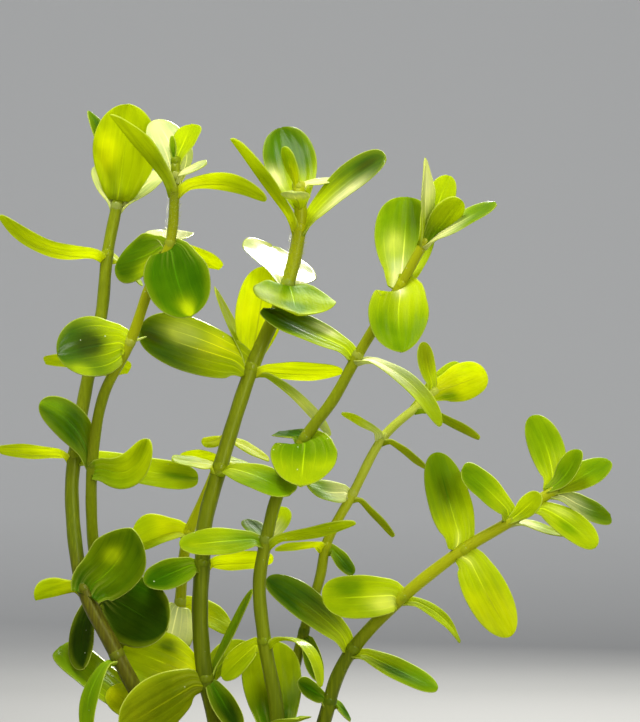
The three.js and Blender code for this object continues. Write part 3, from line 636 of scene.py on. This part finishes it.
# Leaf skin: thick and finely pitted, with soft veins that run from base to tip beside the margin,
# short pale rays at the base and a thin pale margin. Part of the light passes through, so a leaf
# lit from behind glows yellow-green. The veins are pale, painted paler on glossier leaves as
# painted highlight along them, and they fade on leaves that glow. The midrib is pale, but on the
# leaves that glow most it is painted dark, as painted shade of the light that comes through.
LEAF_SHINE, LEAF_THROUGH = (0.7, 1.0, 0.15, 1), (0.76, 0.83, 0.003)
EDGE_TINT, RAY_TINT, BACKLIT_MIDRIB_SHADE = (0.42, 0.54, 0.01), (0.66, 0.68, 0.10), (0.17, 0.20, 0.01)
MARGIN_TINT, LEAF_SPECKS = (0.66, 0.74, 0.12), (0.85, 0.88, 0.55)
wire, leaf_shader, place = new_material("leaf_skin")
leaf_shader.inputs["Specular IOR Level"].default_value = 0.01
leaf_shader.inputs["Specular Tint"].default_value = LEAF_SHINE
tint = wire.add("ShaderNodeAttribute", {"attribute_name": "tint"}, out="Color")
across, along, reach = read(wire, "blade")
gloss, glow, which = read(wire, "habit")
off = wire.maths("ABSOLUTE", across)
edge = (1 - off) * reach
rib = wire.maths("PINGPONG", off, VEIN_STEP / 2)
vein = (1 - (rib * reach).rise(0.0, 0.16)) * (1 - along.rise(0.35, 0.9)) * (1 - off.rise(0.72, 0.9))
# Painted shade of the light through a leaf: the pale veins fade as its glow rises.
vein = vein * (1 - glow)
midrib = (1 - (off * reach).rise(0.05, 0.24)) * (1 - along.rise(0.5, 0.95))
margin = 1 - edge.rise(0.05, 0.3)
soft = 1 - edge.rise(0.2, 2.0)
combed = wire.add("ShaderNodeCombineXYZ", sockets={
    0: across * reach * 1.5, 1: along * 1.7, 2: which * 40})
comb = combed.noise(1.0, 5.0, Distortion=0.5)
fan = wire.add("ShaderNodeCombineXYZ", sockets={0: across * 9.0, 1: along * 0.6, 2: which * 40})
ray = (1 - along.rise(0.06, 0.42)) * fan.noise(1.0, 2.0).rise(0.45, 0.7)
mottle = place.noise(260.0, 5.0, Roughness=0.6)
cloud = place.noise(105.0, 2.0)
pit = place.dots(1500.0)
speck = 1 - place.dots(230.0).rise(0.02, 0.04)
shade = (comb.rise(0.4, 0.68) * 0.3).mix(tint, tint.times((0.5, 0.62, 0.5)))
shade = (cloud.rise(0.42, 0.66) * 0.6).mix(shade, tint.times((0.5, 0.64, 0.5)))
shade = ((1 - cloud.rise(0.3, 0.48)) * 0.5).mix(shade, tint.times((1.5, 1.4, 1.0)))
shade = (mottle.rise(0.45, 0.8) * 0.35).mix(shade, tint.times((1.5, 1.3, 1.2)))
shade = (soft * 0.2).mix(shade, EDGE_TINT)
shade = (ray * 0.4 * (0.3 + glow)).mix(shade, RAY_TINT)
lit = glow.rise(0.42, 0.5)
# The veins are painted paler on glossier leaves, as painted highlight. The midrib is painted dark on
# the leaves that glow most, as painted shade of the light through them, and pale on the rest.
shade = (vein * (0.5 + gloss) + midrib * (1 - lit) * 0.55).mix(shade, tint.times((1.7, 1.6, 1.4)))
shade = (midrib * lit * 0.5).mix(shade, BACKLIT_MIDRIB_SHADE)
shade = (margin * 0.55).mix(shade, MARGIN_TINT)
shade = (speck * 0.7).mix(shade, LEAF_SPECKS)
link(shade, leaf_shader, "Base Color")
link(0.5 - gloss * 0.2 + mottle * 0.1, leaf_shader, "Roughness")
link(gloss * 0.45, leaf_shader, "Coat Weight")
relief = pit * 0.3 + comb * (0.6 + gloss * 0.5) + rib * reach * 0.4 + cloud * 2.0 - midrib * 0.3
emboss(relief, leaf_shader, 0.6, 0.0002)
passing = glow * (1 - midrib * 0.6) * (1 - comb.rise(0.4, 0.7) * 0.3) * (0.8 + mottle * 0.4)
let_through(wire, leaf_shader, LEAF_THROUGH, passing)
leaf_skin = wire.material

# The tall stem at the left, in front of its neighbour low down and behind it above. Its lower
# part has turned brown, and its top leaf is the highest of all.
stem_a = stem("a", (1.75, 1.2), [
    (-10, -4, 24), (-14, -5, 47), (-18, -5, 57), (-24.5, -6, 70), (-31, -5, 83), (-33.5, -2, 100.5),
    (-33, -1, 109), (-30, 3, 127.5), (-28, 5, 137.5), (-27, 8, 149.5), (-24.7, 10.3, 161.8)],
    (50, "moss"), (67, "bark"), (80, "bark"), (92, "moss"), (125, "olive"), (160, "olive"))
whorl(stem_a, 1, 57,
      leaf((-36.5, 7, 70), 8, (0.2, -0.8, 0.6), "lime-leaf", gloss=0.9, blunt=4),
      leaf((-26, -1, 62.5), 7, (0, -0.8, 0.6), "yellow-yellow"))
whorl(stem_a, 2, 69.6,
      leaf((-29.3, -12, 53), 7, (-0.8, -0.5, 0.35), "leaf-leaf", sag=2.5))
whorl(stem_a, 3, 82.8,
      leaf((-21, -13, 95), 12, (0.05, -0.97, 0.15), "green-green",
           patches=[("lime", 0.56, -0.25, 0.13), ("leaf", 0.3, 0.1, 0.16)], cup=18, base=0.7,
           widest=0.6, blunt=1.7, sway=1.8),
      leaf((-41, 1, 80), 7, (0.1, 0.5, 0.85), "straw-lime", fold=35))
whorl(stem_a, 4, 109,
      leaf((-48.5, 5, 109.5), 10, (0, 0.35, 0.95), "yellow-lime"),
      leaf((-8.5, 4, 104), 8.5, (0, -0.65, 0.75), "lime-lime", patches=[("leaf", 0.85, 0, 0.14)],
           sag=-0.8, blunt=3))
whorl(stem_a, 5, 127.6,
      leaf((-39.5, 8, 127.5), 7.5, (0, 0.4, 0.9), "lime-lime"),
      leaf((-23, 8, 125.5), 8, (0, 0.5, 0.85), "yellow-lime"))
whorl(stem_a, 6, 149.5,
      leaf((-48.5, 4, 157), 10, (0.3, 0.35, 0.9), "yellow-lime", sag=-3.3, widest=0.4),
      leaf((-20.8, 18, 144), 7, (0.2, -0.6, 0.75), "yellow-lime"))
whorl(stem_a, 7, 159,
      leaf((-29.6, 15, 167.6), 5, (0.4, -0.7, 0.5), "cream-cream", base=0.2),
      leaf((-15.5, 16, 167), 5.5, (-0.3, -0.6, 0.6), "cream-cream", base=0.2))
whorl(stem_a, 8, 161.8,
      leaf((-22.3, 4, 179.5), 13.5, (0.1, 0.97, 0.2), "lime-lime",
           patches=[("yellow", 0.45, 0.6, 0.18)], cup=15, base=0.5, widest=0.5, blunt=1.9),
      leaf((-31.5, 16, 179), 5.5, (0.6, -0.7, 0.3), "leaf-green", sag=2, blunt=1.5))

# The stem beside it, which comes forward above, with broad deep green leaves and with hairs on
# one length near its top.
stem_b = stem("b", (1.35, 1), [
    (-9, 3, 24), (-13, 4, 47), (-17, 4, 56), (-25.5, 5, 73.5), (-28.3, 4, 82), (-29.5, 0, 93),
    (-29.2, -5, 107.5), (-26.8, -8, 121), (-21.5, -9, 131.5), (-17.5, -11, 142.5),
    (-13.5, -12, 151), (-12.5, -13, 162), (-12.3, -13, 167.3)],
    (50, "moss"), (100, "olive"), (122, "olive"), (134, "straw"), (148, "straw"), (160, "olive"))
whorl(stem_b, 1, 81.5,
      leaf((-14.3, -8, 74.6), 14, (-0.35, -0.9, 0.2), "deep-deep",
           patches=[("green", 0.45, -0.9, 0.2)], widest=0.52),
      leaf((-31, -1, 66.5), 8.2, (-0.7, -0.6, 0.3), "deep-deep", sway=2.5))
whorl(stem_b, 2, 107.5,
      leaf((-39.6, -7, 119.3), 7.4, (0.2, -0.95, 0.2), "green-green",
           patches=[("leaf", 0.9, 0.3, 0.2)], sway=2.2, base=0.2),
      leaf((-17.5, -15, 112.5), 7, (0, -1, 0.1), "leaf-lime", patches=[("green", 0.85, -0.3, 0.2)],
           cup=25, sway=4, base=0.6))
whorl(stem_b, 3, 131.5,
      leaf((-35.4, -15, 129), 13, (0, -0.95, 0.3), "lime-green",
           patches=[("deep", 0.55, 0.1, 0.22), ("lime", 0.75, -0.8, 0.14)], gloss=0.9, sag=0.5,
           widest=0.5, blunt=2),
      leaf((-21, -3.5, 132), 6, (-0.2, -0.6, 0.75), "cream-lime"))
whorl(stem_b, 4, 151,
      leaf((-9, -20, 136.5), 13, (0, -0.87, 0.48), "green-green", gloss=0,
           patches=[("lime", 0.95, 0, 0.16)], widest=0.45, base=0.35, sway=0.8),
      leaf((-14.5, 5, 154), 10, (0, -0.3, 0.95), "cream-cream", gloss=0.8, base=0.2),
      leaf((-24.5, -3, 147), 11, (-0.1, -0.85, 0.5), "leaf-green",
           patches=[("lime", 0.35, -0.6, 0.2)], sway=-1, base=0.12, blunt=1.8),
      leaf((-4, -4, 146.2), 7, (0.3, 0.5, 0.8), "yellow-yellow"))
whorl(stem_b, 5, 161.6,
      leaf((-25, -16, 176), 7.8, (0.7, 0.3, 0.65), "lime-lime", fold=26, blunt=1.5),
      leaf((5.5, -14, 159.5), 7.5, (0, 0.45, 0.9), "yellow-lime", sag=2.5, widest=0.65))
whorl(stem_b, 6, 164.3,
      leaf((-17, -5, 175.5), 9, (0.3, -0.75, 0.6), "cream-cream", gloss=1, sway=1.4, base=0.4),
      leaf((-6.3, -17, 166.2), 6, (0, -0.5, 0.85), "cream-cream", gloss=1))
whorl(stem_b, 7, 167.3,
      leaf((-9.3, -8, 174.5), 6.5, (-0.4, -0.6, 0.5), "lime-lime", blunt=3),
      leaf((-13, -14, 172), 1.4, (0, -1, 0.1), "green-leaf"))

hairs(stem_b, low=151.8, high=161.0, count=420, seed=21)

# The thickest stem, in the middle, with the widest leaves and with hairs on one length near its
# top.
stem_c = stem("c", (1.85, 1.35), [
    (-2, 0, 24), (-4, 0, 47), (-5, 0, 56.5), (-7, -1, 65), (-8, -1, 77.5), (-7.5, -1, 87.5),
    (-7, -1, 95.5), (-4, 0, 106.5), (2.3, 5, 126.5), (9.5, 7, 143.5), (12, 8, 156),
    (11.7, 8.2, 163.5)],
    (50, "moss"), (84, "moss"), (104, "olive"), (130, "olive"), (155, "straw"), (162, "straw"))
# The green spot on the first leaf is painted shadow, cast by the dark leaf above it.
whorl(stem_c, 1, 64.5,
      leaf((-23.3, -0.5, 70.5), 13, (0.2, -0.85, 0.45), "yellow-lime", gloss=0.7,
           patches=[("green", 0.52, 0.6, 0.11)]),
      leaf((1, 8, 71), 8, (-0.2, -0.7, 0.6), "lime-lime"),
      leaf((-23, -16, 56), 12, (0.1, 0.95, 0.3), "olive-olive"),
      leaf((2.5, 3, 82), 5, (-0.85, -0.35, 0.5), "leaf-leaf"),
      leaf((0, -6, 54.4), 5.5, (0.3, -0.8, 0.4), "green-deep"))
whorl(stem_c, 2, 87.5,
      leaf((-18.5, -7, 83.5), 7.8, (-0.1, -0.75, 0.65), "leaf-green"),
      leaf((6.5, 6, 87.5), 7, (0, 0.65, 0.75), "yellow-yellow"))
whorl(stem_c, 3, 106.5,
      leaf((-13.5, -3, 108), 8, (0, -0.3, 0.95), "yellow-lime"),
      leaf((10.2, -17, 101.8), 8.3, (0, -0.55, 0.8), "lime-leaf", sag=1, blunt=3))
# The pale spot on the first leaf is a painted highlight, the glossy streak where it shines.
whorl(stem_c, 4, 126.5,
      leaf((-20.2, 1, 134), 13.8, (0.2, -0.8, 0.55), "lime-green",
           patches=[("yellow", 0.35, 0.4, 0.2), ("lime", 0.6, 0.8, 0.2),
                    ("pale", 0.62, 0.35, 0.16), ("deep", 0.88, -0.2, 0.1)],
           gloss=0.9, base=0.45),
      leaf((20.5, 10, 125.5), 8.5, (0, 0.45, 0.9), "yellow-yellow", sag=-0.5),
      leaf((5, 15, 147), 10, (0, -0.9, 0.4), "yellow-yellow", patches=[("lime", 0.95, -0.5, 0.15)],
           base=0.15, sway=0.2),
      leaf((-5.5, 13, 143), 5, (0.6, -0.2, 0.6), "lime-olive", blunt=1.3),
      leaf((18, 12, 112.5), 5, (0.3, 0.3, 0.8), "lime-cream", sag=1.5))
whorl(stem_c, 5, 143.5,
      leaf((11.5, -9, 137), 17, (0.2, -0.4, 0.9), "leaf-lime", gloss=0, cup=14,
           patches=[("leaf", 0.8, 0, 0.2)]),
      leaf((6.2, 21.5, 151.3), 17, (0.42, -0.37, 0.72), "cream-cream", gloss=1))
# The pale spot along the right leaf's edge is a painted highlight, where its glossy edge shines white.
whorl(stem_c, 6, 154.8,
      leaf((-2, 4, 172.5), 7, (0.75, 0.1, 0.6), "yellow-lime", fold=25),
      leaf((29.2, 1, 168.6), 8.8, (-0.3, -0.7, 0.6), "lime-green", gloss=0.9,
           patches=[("cream", 0.5, 0.8, 0.25), ("deep", 0.8, -0.2, 0.12)], cup=20, widest=0.68,
           sway=-1.6, base=0.25))
# The pale spot at the first leaf's edge is a painted highlight, where it shines white.
whorl(stem_c, 7, 160,
      leaf((7.9, 18, 175.6), 11, (0, -0.97, 0.25), "lime-green", gloss=0.3,
           patches=[("cream", 0.35, -0.8, 0.14), ("green", 0.6, 0.3, 0.25)], cup=20, sway=0.3,
           sag=-0.6),
      leaf((10.5, -2, 161.5), 6, (0, -0.1, 1), "yellow-cream", gloss=0.8))
whorl(stem_c, 8, 163.5,
      leaf((8.8, 4.5, 171), 3.2, (0.3, 0.6, 0.3), "yellow-leaf"),
      leaf((19, 9, 164.5), 3.6, (0, -0.4, 0.9), "cream-cream", gloss=0.8))

hairs(stem_c, low=144.5, high=154.3, count=620, seed=22)

# The short shoot behind the middle.
stem_g = stem("g", (1.3, 1.1), [
    (-9, 9, 24), (-12, 10, 47), (-14, 10, 55.5), (-13, 12, 69), (-12.5, 13, 78.5), (-11, 14, 92),
    (-7.5, 15, 100), (-4, 16, 109), (-3.5, 16, 112)],
    (50, "moss"), (80, "straw"), (112, "yellow"))
whorl(stem_g, 1, 78.8,
      leaf((-2, 18, 73), 8, (0.2, -0.6, 0.7), "yellow-lime"),
      leaf((-15, 5, 67.5), 9, (0, -0.7, 0.7), "cream-cream"))
whorl(stem_g, 2, 92.5,
      leaf((-21, 9, 90), 11, (0.1, -0.5, 0.85), "yellow-lime", fold=20, sag=1))
whorl(stem_g, 3, 107.5,
      leaf((-12.5, 13, 108.5), 6, (0, 0.5, 0.85), "yellow-yellow"),
      leaf((1.5, 20, 106.5), 6, (0, -0.4, 0.9), "yellow-lime"))
whorl(stem_g, 4, 112,
      leaf((-7.5, 13, 110.5), 5, (0, -0.4, 0.9), "yellow-yellow"),
      leaf((5.5, 20, 107.5), 6, (0.2, -0.4, 0.9), "yellow-yellow"))

# The stem that leans to the right in front.
stem_d = stem("d", (1.65, 0.95), [
    (4, -6, 24), (6.5, -7, 47), (7.5, -7, 57), (5, -8, 72.5), (4, -8, 84), (5.5, -8, 93),
    (7.5, -8, 101), (13, -8, 112.5), (18.5, -9, 120), (23.5, -10, 129), (32, -12, 143),
    (35.2, -12.8, 148.8), (36.7, -13.1, 151.6)],
    (50, "moss"), (95, "olive"), (120, "olive"), (150, "straw"))
whorl(stem_d, 1, 55.6,
      leaf((5.5, 5, 71.5), 12, (0, -0.9, 0.4), "green-lime", base=0.6),
      leaf((12, -20, 58.5), 8, (0, -0.2, 0.95), "green-leaf"))
whorl(stem_d, 2, 72.5,
      leaf((16, -16, 64), 5, (0.3, -0.1, 0.9), "lime-lime", gloss=0.6, sag=4.4),
      leaf((-3.5, -5, 65), 7, (-0.3, -0.6, 0.6), "lime-lime"))
whorl(stem_d, 3, 92.5,
      leaf((-11.5, -14, 91.5), 8.5, (0, -0.6, 0.8), "leaf-lime"),
      leaf((23, -12, 96), 7, (0, 0.35, 0.9), "lime-lime", sag=-0.4),
      leaf((9, 0, 98.5), 5, (0, -0.8, 0.5), "cream-lime"),
      leaf((1.5, 0, 96), 5, (0.2, -0.5, 0.8), "leaf-green"))
whorl(stem_d, 4, 112.5,
      leaf((12.3, -20, 103.5), 13.3, (0, -0.75, 0.65), "leaf-lime", widest=0.35, base=0.6, blunt=1.9),
      leaf((8, 2, 113.5), 7, (0, -0.4, 0.9), "green-green"))
# The pale spot on the left leaf is a painted highlight, the white shine along it.
whorl(stem_d, 5, 129,
      leaf((4.5, -1, 138.1), 9.5, (0.3, -0.55, 0.8), "lime-green", gloss=0.15,
           patches=[("cream", 0.4, 0.6, 0.12), ("green", 0.7, -0.2, 0.2), ("deep", 0.9, 0.1, 0.12)]),
      leaf((39.5, -16, 115), 8.5, (0.5, -0.35, 0.8), "cream-lime", gloss=0, sag=2.4))
whorl(stem_d, 6, 143,
      leaf((33.3, 0, 160.5), 12.3, (0, -0.9, 0.3), "lime-leaf",
           patches=[("cream", 0.14, -0.2, 0.18), ("pale", 0.4, -0.3, 0.16), ("green", 0.8, 0.5, 0.2)],
           cup=15, base=0.4, sway=0.2),
      leaf((32, -20, 129.5), 12, (0, -0.8, 0.5), "lime-leaf", patches=[("cream", 0.06, 0, 0.1)],
           widest=0.42, base=0.65, sway=0.8, blunt=1.9))
whorl(stem_d, 7, 151.6,
      leaf((36.5, -17, 167.5), 6, (0.8, -0.5, 0.1), "lime-cream", fold=15, blunt=1.2),
      leaf((50.5, -15, 158.7), 7.5, (-0.4, -0.45, 0.8), "cream-leaf", gloss=0.9),
      leaf((41.5, -7, 164.5), 6, (0, -0.9, 0.3), "lime-lime"),
      leaf((43.5, -15, 159.5), 6.6, (-0.3, 0.8, 0.4), "green-lime"))

# The thin shoot behind it.
stem_e = stem("e", (1.3, 0.9), [
    (6, 5, 24), (8.5, 6, 47), (9.5, 7, 56), (10, 7, 61.5), (13, 8, 74), (16, 9, 84), (17.4, 9, 91),
    (22.7, 10, 101), (29, 11, 112.5), (37, 12, 119.5), (39.5, 12, 121.7)],
    (50, "moss"), (80, "olive"), (95, "straw"), (121, "pale"))
whorl(stem_e, 1, 73,
      leaf((15.5, 3, 63.5), 5, (0.5, -0.6, 0.3), "green-green"))
whorl(stem_e, 2, 90.5,
      leaf((7, 6, 89.8), 7, (0, 0.3, 0.95), "yellow-lime"),
      leaf((22.7, 9, 84.5), 6, (0.3, -0.4, 0.7), "leaf-green"))
whorl(stem_e, 3, 101,
      leaf((13.5, 6, 102.7), 8, (0, -0.55, 0.8), "cream-leaf", widest=0.35, sag=-1),
      leaf((31, 13, 92), 5, (0.4, 0.2, 0.8), "olive-olive"))
whorl(stem_e, 4, 112.5,
      leaf((20.5, 8, 117.3), 6, (0.2, 0.2, 0.95), "cream-lime"),
      leaf((37.5, 12, 106), 6, (0.3, 0.2, 0.9), "olive-olive"))
whorl(stem_e, 5, 118.8,
      leaf((48.5, 12, 112), 6, (0.4, 0.3, 0.8), "leaf-olive"),
      leaf((44.5, 18, 127.5), 5.5, (0, -0.6, 0.7), "olive-lime", sag=-0.8))
whorl(stem_e, 6, 121.7,
      leaf((50, 11, 125), 10, (-0.1, -0.7, 0.6), "yellow-yellow", patches=[("leaf", 0.2, 0.6, 0.18)],
           base=0.5),
      leaf((37.2, 14, 131.7), 3.9, (0.3, -0.8, 0.3), "lime-olive", sway=-0.5))

# The low stem at the far right, the most bent.
stem_f = stem("f", (1.6, 1.1), [
    (9, -1, 24), (14, -1, 47), (17, -1, 56.5), (19.5, -2, 65), (23, -3, 71), (32.5, -5, 81),
    (44.5, -6, 90.5), (54.5, -6, 96.5), (58.4, -6, 99.6), (62.6, -6, 102.2)],
    (50, "moss"), (70, "moss"), (85, "straw"), (104, "straw"))
whorl(stem_f, 1, 60,
      leaf((11.5, -5, 64), 5, (0.2, -0.7, 0.6), "green-green"),
      leaf((22, 2, 56), 5, (0, -0.5, 0.8), "leaf-green"))
whorl(stem_f, 2, 70.6,
      leaf((5.2, -1, 84.1), 9.6, (0.4, -0.6, 0.6), "lime-green", gloss=0.6, sway=1.2),
      leaf((39.3, -6, 62.6), 7, (0, -0.5, 0.85), "lime-leaf", patches=[("green", 0.5, 0.3, 0.2)]))
whorl(stem_f, 3, 81,
      leaf((16.5, -13, 81), 9.4, (0, -0.9, 0.4), "lime-lime",
           patches=[("pale", 0.2, -0.4, 0.2), ("leaf", 0.65, 0.5, 0.2)], base=0.6, blunt=2.6),
      leaf((44, 2, 71.5), 5.5, (0.4, -0.5, 0.8), "lime-lime", sag=1.6))
whorl(stem_f, 4, 90.5,
      leaf((39, -1, 109.5), 8.8, (0.1, -0.95, 0.25), "lime-leaf",
           patches=[("green", 0.62, -0.1, 0.16), ("pale", 0.06, 0, 0.08)], widest=0.42, base=0.5),
      leaf((53.6, -10, 73.5), 9.3, (0.1, -0.9, 0.4), "lime-straw", patches=[("pale", 0.06, 0, 0.1)],
           base=0.5, widest=0.5, blunt=2, sway=0.3))
whorl(stem_f, 5, 96.5,
      leaf((44, -9, 106.3), 7.8, (0.3, -0.6, 0.6), "lime-leaf", blunt=3, base=0.5, sway=0.6),
      leaf((64.5, 0, 93), 6, (0, -0.4, 0.9), "cream-lime"),
      leaf((59.5, -11, 101.5), 4.5, (-0.2, -0.9, 0.3), "lime-lime"))
whorl(stem_f, 6, 99.6,
      leaf((70, -12, 91), 6.4, (0.2, -0.9, 0.4), "lime-lime",
           patches=[("pale", 0.3, -0.5, 0.14), ("leaf", 0.55, 0.3, 0.16)], sway=-1))
whorl(stem_f, 7, 102.2,
      leaf((58.4, 2, 116.8), 7.2, (0, -0.95, 0.2), "lime-leaf", sag=-0.8, sway=1.1),
      leaf((67.2, -8, 110.3), 6.5, (-0.4, -0.6, 0.6), "leaf-leaf", cup=30, sway=1),
      leaf((73.5, -3, 108), 8, (-0.3, -0.6, 0.7), "lime-leaf", sway=0.6),
      leaf((74, 0, 96.8), 7.5, (0, -0.6, 0.7), "cream-leaf", sway=1.2))
